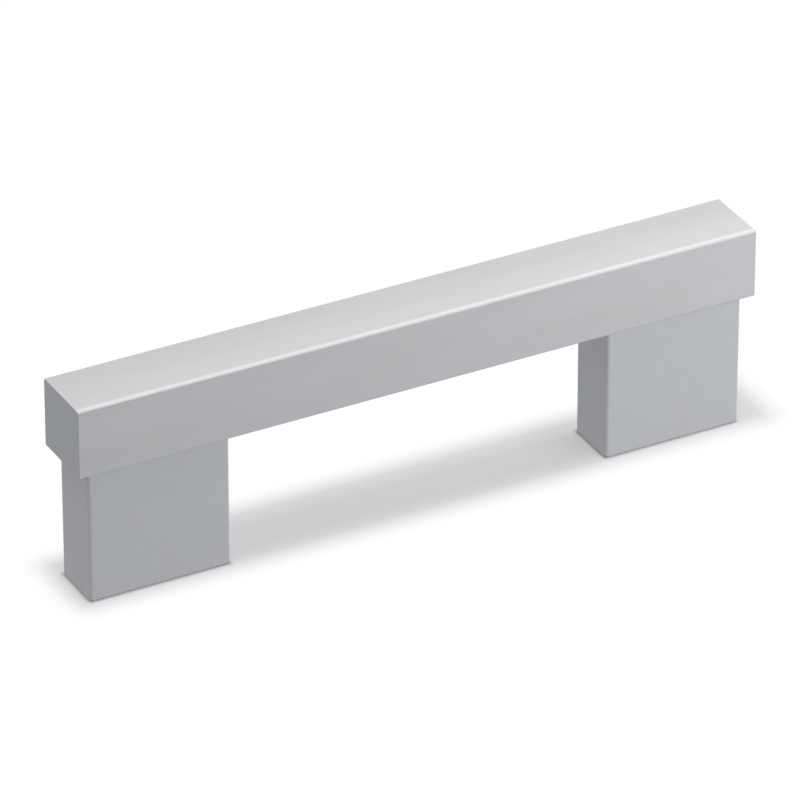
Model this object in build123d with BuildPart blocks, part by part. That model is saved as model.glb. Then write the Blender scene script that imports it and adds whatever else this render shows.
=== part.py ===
from build123d import *
from math import radians, tan
import os

# Bow handle for a drawer or cupboard front: a square bar carried on two cored legs.
# Millimetres. The origin lies on the mounting plane, midway between the fixing threads.
# +X runs along the bar, +Y to the back of the bar and +Z away from the mounting plane.

# Bar, sawn from a drawn section
bar_depth = 12.5
bar_height = 12.5
bar_edge_radius = 0.3
bar_end_break = 0.1
end_overhang = 2.0

# Legs, cast and cored from below
hole_spacing = 96.0
leg_width = 25.6
leg_height = 24.5
leg_setback = 1.15
leg_corner_radius = 0.6
leg_foot_break = 0.2
leg_top_break = 0.2
leg_end_wall = 1.8
leg_roof = 3.0
pocket_corner_radius = 1.0
pocket_roof_break = 0.2
core_draft_angle = 0.5

# Fixing threads in the legs, drawn at the thread's outer diameter
fixing_diameter = 4.0
fixing_depth = 14.0
fixing_lead_in = 0.4
lead_in_angle = 90.0

# Leg screws, with cheese heads and cross recesses
screw_diameter = 3.0
screw_tip_chamfer = 0.35
screw_bite = 6.0
head_diameter = 5.5
head_height = 2.0
head_edge_chamfer = 0.25
recess_span = 3.2
recess_width = 0.8
recess_depth = 1.2
recess_draft_angle = 6.0

# Room between the screws and what they fit
head_clearance = 0.05
shank_clearance = 0.2
thread_clearance = 0.02
drill_run_out = 1.0
drill_point_angle = 118.0

# Sizes that follow
bar_length = hole_spacing + leg_width + 2 * end_overhang
leg_depth = bar_depth - 2 * leg_setback
pocket_depth = leg_height - leg_roof
pocket_roof_size = head_diameter + 2 * (pocket_roof_break + head_clearance)
pocket_mouth_size = pocket_roof_size + 2 * pocket_depth * tan(radians(core_draft_angle))
screw_offset = leg_width / 2 - leg_end_wall - pocket_mouth_size / 2
thread_hole_radius = screw_diameter / 2 + thread_clearance
thread_hole_depth = screw_bite + drill_run_out
drill_point_height = thread_hole_radius / tan(radians(drill_point_angle / 2))
head_bottom = pocket_depth - head_height
screw_top = leg_height + screw_bite

leg_centres = {"left_leg": -hole_spacing / 2, "right_leg": hole_spacing / 2}
screw_centres = [
    centre + side * screw_offset for centre in leg_centres.values() for side in (-1, 1)
]
os.makedirs("parts", exist_ok=True)

# Bar: rounded long edges, sawn ends with a light edge break, blind threads underneath
with BuildPart() as bar:
    bar_middle = leg_height + bar_height / 2
    with BuildSketch(Plane.YZ.offset(-bar_length / 2)):
        with Locations((0, bar_middle)):
            RectangleRounded(bar_depth, bar_height, bar_edge_radius)
    extrude(amount=bar_length)
    chamfer(bar.faces().filter_by(Axis.X).edges(), length=bar_end_break)
    with Locations([(x, 0, leg_height + thread_hole_depth / 2) for x in screw_centres]):
        Cylinder(thread_hole_radius, thread_hole_depth, mode=Mode.SUBTRACT)
    with Locations([(x, 0, leg_height + thread_hole_depth) for x in screw_centres]):
        Cone(
            thread_hole_radius,
            0,
            drill_point_height,
            align=(Align.CENTER, Align.CENTER, Align.MIN),
            mode=Mode.SUBTRACT,
        )
bar.part.label = "bar"
export_step(bar.part, "parts/bar.step")

# Legs: two drafted pockets leave a web across the middle, and the fixing thread is in the web
for leg_name, leg_centre in leg_centres.items():
    leg_plane = Plane(origin=(leg_centre, 0, 0))
    with BuildPart(leg_plane) as leg:
        with BuildSketch(leg_plane):
            RectangleRounded(leg_width, leg_depth, leg_corner_radius)
        extrude(amount=leg_height)
        chamfer(leg.faces().sort_by(Axis.Z)[0].edges(), length=leg_foot_break)
        chamfer(leg.faces().sort_by(Axis.Z)[-1].edges(), length=leg_top_break)
        with BuildSketch(leg_plane):
            with GridLocations(2 * screw_offset, 0, 2, 1):
                RectangleRounded(pocket_mouth_size, pocket_mouth_size, pocket_corner_radius)
        extrude(amount=pocket_depth, taper=core_draft_angle, mode=Mode.SUBTRACT)
        pocket_roofs = leg.faces().filter_by(Axis.Z).filter_by_position(
            Axis.Z, pocket_depth - pocket_roof_break, pocket_depth + pocket_roof_break
        )
        chamfer(pocket_roofs.edges(), length=pocket_roof_break)
        with GridLocations(2 * screw_offset, 0, 2, 1):
            with Locations((0, 0, leg_height)):
                Hole(screw_diameter / 2 + shank_clearance, depth=leg_roof)
        with Locations(Location((0, 0, 0), (180, 0, 0))):
            CounterSinkHole(
                fixing_diameter / 2,
                fixing_diameter / 2 + fixing_lead_in,
                depth=fixing_depth,
                counter_sink_angle=lead_in_angle,
            )
    leg.part.label = leg_name
    export_step(leg.part, f"parts/{leg_name}.step")

# One leg screw, upright on its own axis with its head at the bottom
with BuildPart() as leg_screw:
    with BuildSketch(Plane.XZ):
        with BuildLine():
            Polyline(
                (0, head_bottom),
                (head_diameter / 2, head_bottom),
                (head_diameter / 2, pocket_depth),
                (screw_diameter / 2, pocket_depth),
                (screw_diameter / 2, screw_top - screw_tip_chamfer),
                (screw_diameter / 2 - screw_tip_chamfer, screw_top),
                (0, screw_top),
                close=True,
            )
        make_face()
    revolve(axis=Axis.Z)
    chamfer(leg_screw.faces().sort_by(Axis.Z)[0].edges(), length=head_edge_chamfer)
    with BuildSketch(Plane.XY.offset(head_bottom)):
        Rectangle(recess_span, recess_width)
        Rectangle(recess_width, recess_span)
    extrude(amount=recess_depth, taper=recess_draft_angle, mode=Mode.SUBTRACT)

# The leg screws, each with its head against a pocket roof and its thread in the bar
with BuildPart() as leg_screws:
    with Locations([(x, 0, 0) for x in screw_centres]):
        add(leg_screw.part)
leg_screws.part.label = "leg_screws"
export_step(leg_screws.part, "parts/leg_screws.step")
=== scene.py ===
"""Dresses the bow handle and sets it on a white table.

The bar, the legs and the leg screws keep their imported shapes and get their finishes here. The screw threads
in the legs' fixing holes are modelled here. Sizes are in metres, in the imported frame: +X along the bar, +Y
to its back and +Z up. A name that ends in _mm is in millimetres of that frame.
"""

import logging
import math
from dataclasses import dataclass
from enum import Enum
from typing import Any

import bmesh
import bpy
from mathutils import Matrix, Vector


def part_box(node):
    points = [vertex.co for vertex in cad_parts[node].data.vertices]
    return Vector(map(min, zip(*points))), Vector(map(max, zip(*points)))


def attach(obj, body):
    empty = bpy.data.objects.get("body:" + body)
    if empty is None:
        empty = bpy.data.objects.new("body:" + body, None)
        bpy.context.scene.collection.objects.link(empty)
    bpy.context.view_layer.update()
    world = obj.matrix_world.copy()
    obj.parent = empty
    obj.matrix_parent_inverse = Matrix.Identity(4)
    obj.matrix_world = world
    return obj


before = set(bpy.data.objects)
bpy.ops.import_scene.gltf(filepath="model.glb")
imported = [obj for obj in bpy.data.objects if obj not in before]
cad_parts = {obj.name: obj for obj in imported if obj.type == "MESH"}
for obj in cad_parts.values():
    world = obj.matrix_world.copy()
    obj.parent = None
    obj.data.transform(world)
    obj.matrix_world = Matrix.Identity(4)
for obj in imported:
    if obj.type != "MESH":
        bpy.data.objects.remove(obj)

LOG = logging.getLogger("bow_handle")
MM = 0.001
PICTURE_SIDE_PX = 800
SENSOR_WIDTH_MM = 36.0
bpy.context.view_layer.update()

# The middle of a noise, and the span of it over which one colour shades into another
NOISE_MIDDLE = 0.5
SHADE_SPAN = (0.3, 0.7)

# The Mix node's colour sockets, whose names stand for other sockets of the node too
MIX_FIRST_COLOUR = 6
MIX_SECOND_COLOUR = 7
MIX_COLOUR_RESULT = 2

# A lamp with no tilt looks straight down, a quarter turn from level
QUARTER_TURN_DEG = 90.0

Colour = tuple[float, float, float, float]
Span = tuple[float, float]


class End(Enum):
    """The two ends of the handle, with the side of the origin that each is on."""

    LEFT = -1
    RIGHT = 1

    @property
    def leg_node(self) -> str:
        """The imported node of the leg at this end."""
        return f"{self.name.lower()}_leg"


class Wire:
    """A number that comes out of a node, on which Python's operators add Math nodes."""

    def __init__(self, bench: "Bench", socket: bpy.types.NodeSocket) -> None:
        """Keeps the node tree and the output socket."""
        self.bench = bench
        self.socket = socket

    def _maths(self, operation: str, *operands: "Wire | float") -> "Wire":
        """Adds one Math node.

        Args:
            operation: the node's operation, in Blender's words.
            *operands: what goes into its sockets, in order.

        Returns:
            The node's result.
        """
        return self.bench.wire("ShaderNodeMath", {"operation": operation}, dict(enumerate(operands)))

    def __add__(self, other: "Wire | float") -> "Wire":
        """This number plus another."""
        return self._maths("ADD", self, other)

    __radd__ = __add__

    def __sub__(self, other: "Wire | float") -> "Wire":
        """This number less another."""
        return self._maths("SUBTRACT", self, other)

    def __rsub__(self, other: float) -> "Wire":
        """Another number less this one."""
        return self._maths("SUBTRACT", other, self)

    def __mul__(self, other: "Wire | float") -> "Wire":
        """This number times another."""
        return self._maths("MULTIPLY", self, other)

    __rmul__ = __mul__

    def __abs__(self) -> "Wire":
        """This number without its sign."""
        return self._maths("ABSOLUTE", self)

    def lesser(self, other: "Wire | float") -> "Wire":
        """The lesser of this number and another."""
        return self._maths("MINIMUM", self, other)

    def greater(self, other: "Wire | float") -> "Wire":
        """The greater of this number and another."""
        return self._maths("MAXIMUM", self, other)

    def root(self) -> "Wire":
        """The square root of this number."""
        return self._maths("SQRT", self)

    def rise(self, low: float, high: float) -> "Wire":
        """A smooth step.

        Args:
            low: where the step leaves 0.
            high: where it reaches 1.

        Returns:
            A number from 0 to 1.
        """
        return self.bench.wire(
            "ShaderNodeMapRange",
            {"interpolation_type": "SMOOTHSTEP"},
            {"Value": self, "From Min": low, "From Max": high},
        )

    def swing(self, reach: float) -> "Wire":
        """How far a noise is from its middle, times a reach."""
        return (self - NOISE_MIDDLE) * reach


@dataclass(frozen=True)
class Texture:
    """The cells of a noise: their size along x, y and z, and how many finer layers they have."""

    x_mm: float
    y_mm: float
    z_mm: float
    layers: float

    @property
    def scale(self) -> tuple[float, float, float]:
        """Cells to the millimetre along x, y and z."""
        return (1 / self.x_mm, 1 / self.y_mm, 1 / self.z_mm)


class Bench:
    """The nodes of one material or world."""

    def __init__(self, owner: bpy.types.Material | bpy.types.World) -> None:
        """Clears the owner's node tree.

        Args:
            owner: the material or world that the nodes belong to.
        """
        owner.use_nodes = True
        self.tree = owner.node_tree
        self.tree.nodes.clear()

    def node(self, kind: str, settings: dict[str, Any], sockets: dict[str | int, Any]) -> bpy.types.Node:
        """Adds a node.

        Args:
            kind: the node's type.
            settings: the node's own properties, which are set first.
            sockets: values, or the wires and sockets to link, by input name or number.

        Returns:
            The new node.
        """
        made = self.tree.nodes.new(kind)
        for name, value in settings.items():
            setattr(made, name, value)
        for key, value in sockets.items():
            if isinstance(value, Wire):
                value = value.socket
            if isinstance(value, bpy.types.NodeSocket):
                self.tree.links.new(value, made.inputs[key])
            else:
                made.inputs[key].default_value = value
        return made

    def wire(
        self,
        kind: str,
        settings: dict[str, Any],
        sockets: dict[str | int, Any],
        output: str | int = 0,
    ) -> Wire:
        """Adds a node and takes one number from it.

        Args:
            kind: the node's type.
            settings: the node's own properties.
            sockets: values or links, by input name or number.
            output: the output's name or number.

        Returns:
            That output as a wire.
        """
        return Wire(self, self.node(kind, settings, sockets).outputs[output])

    def millimetres(self) -> bpy.types.NodeSocket:
        """The place on the object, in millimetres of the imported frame."""
        place = self.node("ShaderNodeTexCoord", {}, {}).outputs["Object"]
        scaled = self.node("ShaderNodeVectorMath", {"operation": "SCALE"}, {0: place, "Scale": 1 / MM})
        return scaled.outputs[0]

    def parts(self, vector: bpy.types.NodeSocket) -> tuple[Wire, Wire, Wire]:
        """The x, y and z of a vector."""
        split = self.node("ShaderNodeSeparateXYZ", {}, {0: vector})
        return tuple(Wire(self, out) for out in split.outputs)

    def noise(self, place: bpy.types.NodeSocket, texture: Texture) -> Wire:
        """Smooth noise about one half.

        Args:
            place: where on the object, in millimetres.
            texture: the noise's cells.

        Returns:
            A number from about 0.2 to 0.8.
        """
        cells = self.node("ShaderNodeMapping", {}, {"Vector": place, "Scale": texture.scale})
        sockets = {"Vector": cells.outputs[0], "Scale": 1.0, "Detail": texture.layers}
        return self.wire("ShaderNodeTexNoise", {}, sockets, "Fac")

    def blend(self, share: Wire, low: Any, high: Any) -> bpy.types.NodeSocket:
        """Mixes two colours.

        Args:
            share: how much of the second colour.
            low: the first colour, or a socket that gives it.
            high: the second colour, or a socket that gives it.

        Returns:
            The mixed colour.
        """
        sockets = {"Factor": share, MIX_FIRST_COLOUR: low, MIX_SECOND_COLOUR: high}
        return self.node("ShaderNodeMix", {"data_type": "RGBA"}, sockets).outputs[MIX_COLOUR_RESULT]

    def surface(self, sockets: dict[str, Any], height: Wire, depth_mm: float) -> None:
        """Ends a material in one principled shader with a bump.

        Args:
            sockets: the shader's values and links, by input name.
            height: the bump's height, as a share of the depth.
            depth_mm: how deep a height of 1 is.
        """
        relief = {"Strength": 1.0, "Distance": depth_mm * MM, "Height": height}
        bump = self.node("ShaderNodeBump", {}, relief)
        shader = self.node("ShaderNodeBsdfPrincipled", {}, {**sockets, "Normal": bump.outputs[0]})
        self.node("ShaderNodeOutputMaterial", {}, {"Surface": shader.outputs[0]})


def colour(red: float, green: float, blue: float) -> Colour:
    """A colour with full cover."""
    return (red, green, blue, 1.0)


@dataclass(frozen=True)
class SatinBarFinish:
    """Drawn aluminium, etched matt and anodised; sawn ends partly darkened as painted shade; a painted
    highlight and sheen at its front top.

    Attributes:
        half_length_mm: half the bar's length.
        edge_depth_mm: how far its front is from the middle.
        edge_height_mm: how high its top is.
        sawn_face_mm: how far inside the end the sawn look and its darker colour start, and how far inside
            they are full.
        top_face_mm: how high above the top the painted highlight starts, and how high it is full. Both lie
            below it.
        highlight_start_mm: how far behind the front the painted highlight line starts, and how far behind it
            is full.
        highlight_end_mm: how far behind the front the painted highlight line starts to fade, and how far
            behind it is gone.
        sheen_reach_mm: how far behind the front the fainter painted sheen across the top ends.
        sheen_cover: how strong the fainter painted sheen is at the front.
    """

    half_length_mm: float
    edge_depth_mm: float
    edge_height_mm: float
    dark: Colour = colour(0.528, 0.539, 0.555)
    light: Colour = colour(0.552, 0.564, 0.581)
    bright: Colour = colour(0.69, 0.7, 0.709)
    sawn_and_shade: Colour = colour(0.472, 0.486, 0.507)
    sawn_and_shade_cover: float = 0.9
    sawn_face_mm: Span = (0.08, 0.02)
    top_face_mm: Span = (-0.15, -0.015)
    highlight_start_mm: Span = (0.1, 0.5)
    highlight_end_mm: Span = (0.5, 1.6)
    sheen_reach_mm: float = 13.0
    sheen_cover: float = 0.235
    draw_lines: Texture = Texture(60.0, 0.11, 0.11, 3.0)
    saw_marks: Texture = Texture(1.0, 9.0, 0.16, 2.0)
    grain: Texture = Texture(0.09, 0.09, 0.09, 1.0)
    cloud: Texture = Texture(30.0, 6.0, 6.0, 2.0)
    mark_shade: float = 0.25
    grain_shade: float = 0.15
    cloud_shade: float = 0.6
    roughness: float = 0.78
    mark_roughness: float = 0.12
    grain_roughness: float = 0.06
    highlight_polish: float = 0.04
    relief_mm: float = 0.0008
    mark_relief: float = 0.7
    grain_relief: float = 0.3

    def material(self, name: str) -> bpy.types.Material:
        """Makes the bar's material.

        Args:
            name: what the material is called.

        Returns:
            The material.
        """
        made = bpy.data.materials.new(name)
        bench = Bench(made)
        place = bench.millimetres()
        x, y, z = bench.parts(place)
        sawn_from, sawn_to = (self.half_length_mm - inset for inset in self.sawn_face_mm)
        # The sawn end faces get saw marks and a darker colour, which is partly the sawn look and partly
        # painted shade.
        end = abs(x).rise(sawn_from, sawn_to)
        # Painted highlight: a bright line just behind the front top edge, with a fainter painted sheen that
        # fades across the top towards the back.
        top = (z - self.edge_height_mm).rise(*self.top_face_mm)
        inward = y + self.edge_depth_mm
        painted_line = inward.rise(*self.highlight_start_mm) * (1 - inward.rise(*self.highlight_end_mm))
        painted_sheen = (1 - inward.rise(0.0, self.sheen_reach_mm)) * self.sheen_cover
        painted_highlight = painted_line.greater(painted_sheen) * top
        grain = bench.noise(place, self.grain)
        cloud = bench.noise(place, self.cloud)
        marks = bench.noise(place, self.draw_lines) * (1 - end) + bench.noise(place, self.saw_marks) * end
        shade = cloud * self.cloud_shade + marks * self.mark_shade + grain * self.grain_shade
        satin = bench.blend(shade.rise(*SHADE_SPAN), self.dark, self.light)
        long_faces = bench.blend(painted_highlight, satin, self.bright)
        rough = self.roughness + marks.swing(self.mark_roughness) + grain.swing(self.grain_roughness)
        sockets = {
            "Base Color": bench.blend(end * self.sawn_and_shade_cover, long_faces, self.sawn_and_shade),
            "Metallic": 1.0,
            "Roughness": rough - painted_highlight * self.highlight_polish,
        }
        bench.surface(sockets, marks * self.mark_relief + grain * self.grain_relief, self.relief_mm)
        return made


@dataclass(frozen=True)
class CastLegFinish:
    """Silver lacquer on a zinc casting, with painted shade along the foot's lower edge, bare in the pockets
    and ground underneath.

    Attributes:
        centre_mm: where along the bar the leg stands.
        half_width_mm: half its width.
        half_depth_mm: half its depth.
        contact_shade_mm: how high above the table the painted shade along the foot starts to fade, and how
            high it is gone.
        foot_face_mm: the same for the ground face under the foot.
        wall_mm: how deep inside the leg's outline bare metal starts, and how deep it is full.
    """

    centre_mm: float
    half_width_mm: float
    half_depth_mm: float
    dark: Colour = colour(0.523, 0.536, 0.562)
    light: Colour = colour(0.543, 0.556, 0.583)
    bare: Colour = colour(0.36, 0.365, 0.37)
    ground: Colour = colour(0.56, 0.565, 0.57)
    contact_shade_colour: Colour = colour(0.34, 0.345, 0.36)
    contact_shade_cover: float = 0.85
    contact_shade_mm: Span = (0.12, 0.42)
    foot_face_mm: Span = (0.01, 0.03)
    wall_mm: Span = (0.5, 0.7)
    peel: Texture = Texture(0.8, 0.8, 0.8, 1.0)
    flake: Texture = Texture(0.07, 0.07, 0.07, 1.0)
    cast_skin: Texture = Texture(0.5, 0.5, 1.6, 4.0)
    scratches: Texture = Texture(12.0, 0.08, 1.0, 3.0)
    peel_shade: float = 0.5
    flake_shade: float = 0.5
    roughness: float = 0.78
    flake_roughness: float = 0.08
    pocket_roughness: float = 0.1
    foot_polish: float = 0.1
    relief_mm: float = 0.0012
    peel_relief: float = 0.4
    flake_relief: float = 0.2
    skin_relief: float = 6.0

    def material(self, name: str) -> bpy.types.Material:
        """Makes a leg's material.

        Args:
            name: what the material is called.

        Returns:
            The material.
        """
        made = bpy.data.materials.new(name)
        bench = Bench(made)
        place = bench.millimetres()
        x, y, z = bench.parts(place)
        inset = (self.half_width_mm - abs(x - self.centre_mm)).lesser(self.half_depth_mm - abs(y))
        foot = 1 - z.rise(*self.foot_face_mm)
        inside = inset.rise(*self.wall_mm) * (1 - foot)
        # Painted shade: a dark line along the foot's lower edge, where the leg meets the table.
        contact_shade = (1 - z.rise(*self.contact_shade_mm)) * self.contact_shade_cover
        peel = bench.noise(place, self.peel)
        flake = bench.noise(place, self.flake)
        skin = bench.noise(place, self.cast_skin)
        scratches = bench.noise(place, self.scratches)
        shade = peel * self.peel_shade + flake * self.flake_shade
        lacquer = bench.blend(shade.rise(*SHADE_SPAN), self.dark, self.light)
        outside = bench.blend(foot, bench.blend(contact_shade, lacquer, self.contact_shade_colour), self.ground)
        rough = self.roughness + flake.swing(self.flake_roughness)
        sockets = {
            "Base Color": bench.blend(inside, outside, self.bare),
            "Metallic": 1.0,
            "Roughness": rough + inside * self.pocket_roughness - foot * self.foot_polish,
        }
        smooth = peel * self.peel_relief + flake * self.flake_relief
        height = smooth * (1 - inside) * (1 - foot) + skin * inside * self.skin_relief + scratches * foot
        bench.surface(sockets, height, self.relief_mm)
        return made


@dataclass(frozen=True)
class PlatedScrewFinish:
    """Bright zinc plating on turned steel, with rings on the heads.

    Attributes:
        leg_centre_mm: how far from the middle of the bar a leg stands.
        screw_offset_mm: how far from the middle of a leg a screw stands.
    """

    leg_centre_mm: float
    screw_offset_mm: float
    dark: Colour = colour(0.46, 0.47, 0.48)
    light: Colour = colour(0.62, 0.62, 0.6)
    rings: Texture = Texture(0.08, 1.0, 1.0, 2.0)
    cloud: Texture = Texture(0.7, 0.7, 0.7, 3.0)
    cloud_span: Span = (0.35, 0.65)
    roughness: float = 0.3
    ring_roughness: float = 0.2
    cloud_roughness: float = 0.15
    relief_mm: float = 0.003

    def material(self, name: str) -> bpy.types.Material:
        """Makes the screws' material.

        Args:
            name: what the material is called.

        Returns:
            The material.
        """
        made = bpy.data.materials.new(name)
        bench = Bench(made)
        place = bench.millimetres()
        x, y, _ = bench.parts(place)
        along = abs(abs(x) - self.leg_centre_mm) - self.screw_offset_mm
        radius = (along * along + y * y).root()
        outward = bench.node("ShaderNodeCombineXYZ", {}, {0: radius}).outputs[0]
        rings = bench.noise(outward, self.rings)
        cloud = bench.noise(place, self.cloud)
        rough = self.roughness + rings.swing(self.ring_roughness) + cloud.swing(self.cloud_roughness)
        sockets = {
            "Base Color": bench.blend(cloud.rise(*self.cloud_span), self.dark, self.light),
            "Metallic": 1.0,
            "Roughness": rough,
        }
        bench.surface(sockets, rings, self.relief_mm)
        return made


@dataclass(frozen=True)
class WhiteTableFinish:
    """Matt board that takes the lamps' shadow and shows as pure white outside it, with the shadow's shape
    beside the handle painted by a mask.

    Attributes:
        bar_half_mm: half the bar's length and depth.
        leg_half_mm: half a leg's width and depth.
        leg_centre_mm: how far from the middle of the bar a leg stands.
        board: the board's own colour, which the lamps light.
        lifted: the even white that it shows outside the shadow.
        mirrored: the even glow that the metal reflects.
        shadow_shift_mm: how far the painted shadow beside the bar lies to the right and to the back.
        lifted_share: how much of the even white shows before the fade beside the bar adds to it.
        bar_shadow_mm: the span, from the bar's edge, over which its painted shadow fades.
        foot_shadow_mm: the span, from a foot's edge, over which the painted dark line round it fades.
        right_end_mm: the span along the bar over which the painted shadow deepens at the right end.
        right_end_drop: how much less even white there is at that end.
    """

    bar_half_mm: Span
    leg_half_mm: Span
    leg_centre_mm: float
    board: Colour = colour(0.458, 0.46, 0.466)
    lifted: Colour = colour(1.0, 1.0, 1.0)
    mirrored: Colour = colour(0.71, 0.71, 0.71)
    shadow_shift_mm: Span = (2.1, 1.45)
    lifted_share: float = 0.28
    bar_shadow_mm: Span = (-2.4, 6.4)
    foot_shadow_mm: Span = (-0.4, 1.6)
    right_end_mm: Span = (56.0, 61.0)
    right_end_drop: float = 0.13

    @staticmethod
    def _gap(along: Wire, across: Wire, half: Span) -> Wire:
        """How far a place lies outside a rectangle.

        Args:
            along: the place's distance from the rectangle's middle, along the bar.
            across: the same across the bar.
            half: half the rectangle's length and depth.

        Returns:
            The distance in millimetres, or 0 inside.
        """
        past_end = (along - half[0]).greater(0.0)
        past_side = (across - half[1]).greater(0.0)
        return (past_end * past_end + past_side * past_side).root()

    def _lift(self, bench: Bench) -> Wire:
        """How far the board shows as white at each place, which paints the shadow's shape beside the handle.

        Args:
            bench: the board's nodes.

        Returns:
            A number that grows from next to nothing at the feet to 1 outside the shadow.
        """
        x, y, _ = bench.parts(bench.millimetres())
        shift_x, shift_y = self.shadow_shift_mm
        # Painted shadow: the even white gives way beside the bar and round the feet, and less of it shows at
        # the right end.
        beside_bar = self._gap(abs(x - shift_x), abs(y - shift_y), self.bar_half_mm)
        beside_foot = self._gap(abs(abs(x) - self.leg_centre_mm), abs(y), self.leg_half_mm)
        share = self.lifted_share - x.rise(*self.right_end_mm) * self.right_end_drop
        under_bar = share + beside_bar.rise(*self.bar_shadow_mm) * (1 - share)
        return beside_foot.rise(*self.foot_shadow_mm).lesser(under_bar)

    def material(self, name: str) -> bpy.types.Material:
        """Makes the table's material.

        Args:
            name: what the material is called.

        Returns:
            The material.
        """
        made = bpy.data.materials.new(name)
        made.cycles.emission_sampling = "NONE"
        bench = Bench(made)
        path = bench.node("ShaderNodeLightPath", {}, {})
        seen = Wire(bench, path.outputs["Is Camera Ray"])
        glossy = Wire(bench, path.outputs["Is Glossy Ray"])
        mirrored = glossy.greater(Wire(bench, path.outputs["Is Transmission Ray"]))
        matt = bench.node("ShaderNodeBsdfDiffuse", {}, {"Color": self.board})
        glow_colour = bench.blend(mirrored, self.lifted, self.mirrored)
        glow = bench.node("ShaderNodeEmission", {}, {"Color": glow_colour, "Strength": 1.0})
        share = (seen * self._lift(bench)).greater(mirrored)
        mixed = bench.node("ShaderNodeMixShader", {}, {0: share, 1: matt.outputs[0], 2: glow.outputs[0]})
        bench.node("ShaderNodeOutputMaterial", {}, {"Surface": mixed.outputs[0]})
        return made


def dress(node: str, material: bpy.types.Material) -> None:
    """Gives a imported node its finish.

    Args:
        node: the node's name.
        material: the finish.
    """
    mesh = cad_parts[node].data
    mesh.materials.clear()
    mesh.materials.append(material)
    LOG.info("%s wears %s", node, material.name)


@dataclass
class Bar:
    """The straight square bar."""

    node: str = "bar"

    def dress(self) -> None:
        """Gives the bar its satin finish."""
        _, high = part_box(self.node)
        finish = SatinBarFinish(high.x / MM, high.y / MM, high.z / MM)
        dress(self.node, finish.material("satin_bar"))


@dataclass
class FixingThread:
    """The screw thread in a leg's fixing hole, as a ridge that winds round the hole's wall."""

    centre_x: float
    outer_radius: float = 2.0 * MM
    inner_radius: float = 1.65 * MM
    pitch: float = 0.7 * MM
    start: float = 0.45 * MM
    length: float = 12.0 * MM
    crest_share: float = 0.25
    root_share: float = 0.86
    sunk: float = 0.02 * MM
    steps_per_turn: int = 40

    def build(self, name: str) -> bpy.types.Object:
        """Winds the ridge up the hole.

        Args:
            name: the new piece's name.

        Returns:
            The piece.
        """
        turns = self.length / self.pitch
        root, crest = self.root_share * self.pitch / 2, self.crest_share * self.pitch / 2
        wall, tip = self.outer_radius + self.sunk, self.inner_radius
        ridge = bmesh.new()
        profile = [(wall, -root), (tip, -crest), (tip, crest), (wall, root)]
        corners = [ridge.verts.new((self.centre_x + r, 0.0, self.start + root + z)) for r, z in profile]
        face = ridge.faces.new(corners)
        steps = round(turns * self.steps_per_turn)
        bmesh.ops.spin(
            ridge,
            geom=[face, *face.edges, *face.verts],
            cent=(self.centre_x, 0.0, 0.0),
            axis=(0.0, 0.0, 1.0),
            dvec=(0.0, 0.0, self.length / steps),
            angle=math.tau * turns,
            steps=steps,
            use_merge=False,
        )
        bmesh.ops.recalc_face_normals(ridge, faces=ridge.faces)
        mesh = bpy.data.meshes.new(name)
        ridge.to_mesh(mesh)
        ridge.free()
        mesh.shade_smooth()
        piece = bpy.data.objects.new(name, mesh)
        bpy.context.scene.collection.objects.link(piece)
        return piece


@dataclass
class Leg:
    """One cast leg and the thread in its fixing hole."""

    end: End

    def dress(self) -> None:
        """Gives the leg its finish and adds its thread."""
        low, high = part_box(self.end.leg_node)
        middle, half = (low + high) / 2, (high - low) / 2
        finish = CastLegFinish(middle.x / MM, half.x / MM, half.y / MM)
        material = finish.material(f"cast_{self.end.leg_node}")
        dress(self.end.leg_node, material)
        thread = FixingThread(middle.x).build(f"{self.end.name.lower()}_fixing_thread")
        thread.data.materials.append(material)
        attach(thread, "root")
        LOG.info("%s has %d faces", thread.name, len(thread.data.polygons))


@dataclass
class LegScrews:
    """The four screws between the legs and the bar."""

    node: str = "leg_screws"
    head_radius: float = 2.75 * MM

    def dress(self) -> None:
        """Gives the screws their plating."""
        low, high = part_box(End.RIGHT.leg_node)
        leg_centre = (low.x + high.x) / 2
        _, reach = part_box(self.node)
        offset = reach.x - self.head_radius - leg_centre
        dress(self.node, PlatedScrewFinish(leg_centre / MM, offset / MM).material("plated_screws"))


def bearing(azimuth_deg: float, elevation_deg: float) -> Vector:
    """The direction of a lamp or a camera, as seen from the handle.

    Args:
        azimuth_deg: how far it stands round from the front, towards the right end.
        elevation_deg: how far it stands above the table.

    Returns:
        A vector of length 1.
    """
    turn, rise = math.radians(azimuth_deg), math.radians(elevation_deg)
    return Vector((math.sin(turn) * math.cos(rise), -math.cos(turn) * math.cos(rise), math.sin(rise)))


@dataclass(frozen=True)
class Softbox:
    """A flat soft lamp that faces a point on or over the table."""

    name: str
    azimuth_deg: float
    elevation_deg: float
    distance: float
    width: float
    height: float
    brightness: float
    tint: tuple[float, float, float] = (1.0, 1.0, 1.0)
    aim: tuple[float, float, float] = (0.0, 0.0, 0.02)

    def light(self) -> None:
        """Hangs the lamp."""
        data = bpy.data.lights.new(self.name, "AREA")
        data.shape = "RECTANGLE"
        data.size, data.size_y = self.width, self.height
        data.energy = self.brightness * math.pi * self.width * self.height
        data.color = self.tint
        lamp = bpy.data.objects.new(self.name, data)
        lamp.location = Vector(self.aim) + self.distance * bearing(self.azimuth_deg, self.elevation_deg)
        tilt_deg = QUARTER_TURN_DEG - self.elevation_deg
        lamp.rotation_euler = (math.radians(tilt_deg), 0.0, math.radians(self.azimuth_deg))
        bpy.context.scene.collection.objects.link(lamp)


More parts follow.
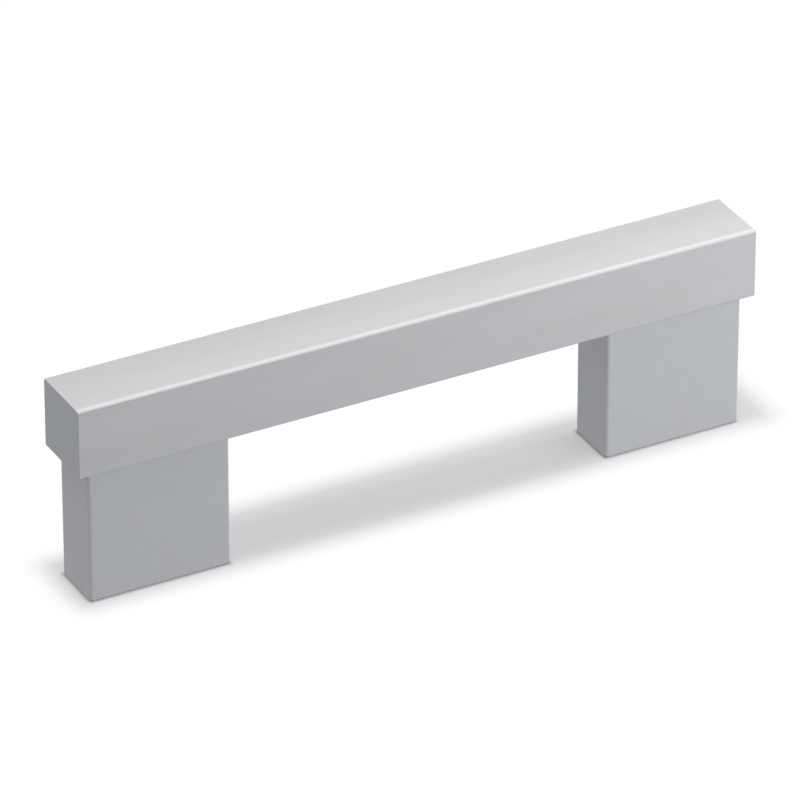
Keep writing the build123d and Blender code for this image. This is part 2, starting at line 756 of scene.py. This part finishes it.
@dataclass(frozen=True)
class Camera:
    """A long lens that looks down on the handle from its front left."""

    azimuth_deg: float = -28.12
    elevation_deg: float = 30.72
    distance: float = 1.3029
    focal_px: float = 7845.0
    aim: tuple[float, float, float] = (0.00301, 0.00765, 0.01374)
    sight: float = 100.0

    def set_up(self) -> None:
        """Places the camera and makes it the scene's own."""
        back = bearing(self.azimuth_deg, self.elevation_deg)
        data = bpy.data.cameras.new("camera")
        data.sensor_width = SENSOR_WIDTH_MM
        data.lens = self.focal_px / PICTURE_SIDE_PX * SENSOR_WIDTH_MM
        data.clip_end = self.sight
        camera = bpy.data.objects.new("camera", data)
        camera.location = Vector(self.aim) + self.distance * back
        camera.rotation_euler = (-back).to_track_quat("-Z", "Y").to_euler()
        bpy.context.scene.collection.objects.link(camera)
        bpy.context.scene.camera = camera


@dataclass
class Studio:
    """The table, the lamps, the pale room and the camera."""

    table_half_side: float = 4.0
    room_brightness: float = 0.55
    lamps: tuple[Softbox, ...] = (
        Softbox(
            "overhead_square",
            azimuth_deg=0.0,
            elevation_deg=90.0,
            distance=0.7,
            width=0.2,
            height=0.2,
            brightness=3.25,
            tint=(1.0, 0.972, 0.932),
            aim=(0.0, -0.03, 0.0),
        ),
        Softbox(
            "overhead_strip",
            azimuth_deg=0.0,
            elevation_deg=90.0,
            distance=0.7,
            width=0.7,
            height=0.18,
            brightness=7.98,
            tint=(1.0, 0.972, 0.932),
            aim=(0.0, -0.03, 0.0),
        ),
        Softbox(
            "right_softbox",
            azimuth_deg=40.0,
            elevation_deg=14.0,
            distance=0.24,
            width=0.18,
            height=0.12,
            brightness=4.85,
            tint=(1.0, 0.985, 0.965),
        ),
        Softbox(
            "back_softbox",
            azimuth_deg=115.0,
            elevation_deg=35.0,
            distance=0.5,
            width=0.4,
            height=0.35,
            brightness=1.74,
            tint=(1.0, 0.97, 0.92),
        ),
    )

    def build(self) -> None:
        """Sets up everything that isn't the handle."""
        self._table()
        self._room()
        for lamp in self.lamps:
            lamp.light()
        Camera().set_up()
        bpy.context.scene.view_settings.view_transform = "Standard"

    def _table(self) -> None:
        """Lays the white table under the feet."""
        board = bmesh.new()
        bmesh.ops.create_grid(board, x_segments=1, y_segments=1, size=self.table_half_side)
        mesh = bpy.data.meshes.new("table")
        board.to_mesh(mesh)
        board.free()
        _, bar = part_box("bar")
        low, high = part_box(End.RIGHT.leg_node)
        middle, half = (low + high) / 2 / MM, (high - low) / 2 / MM
        finish = WhiteTableFinish((bar.x / MM, bar.y / MM), (half.x, half.y), middle.x)
        mesh.materials.append(finish.material("white_table"))
        table = bpy.data.objects.new("table", mesh)
        bpy.context.scene.collection.objects.link(table)

    def _room(self) -> None:
        """Fills the room with even pale light."""
        room = bpy.data.worlds.new("room")
        bpy.context.scene.world = room
        bench = Bench(room)
        sockets = {"Color": colour(1.0, 1.0, 1.0), "Strength": self.room_brightness}
        light = bench.node("ShaderNodeBackground", {}, sockets)
        bench.node("ShaderNodeOutputWorld", {}, {"Surface": light.outputs[0]})


def main() -> None:
    """Dresses every piece in turn and sets up the picture."""
    logging.basicConfig(level=logging.INFO)
    Bar().dress()
    for end in End:
        Leg(end).dress()
    LegScrews().dress()
    Studio().build()


if __name__ == "__main__":
    main()
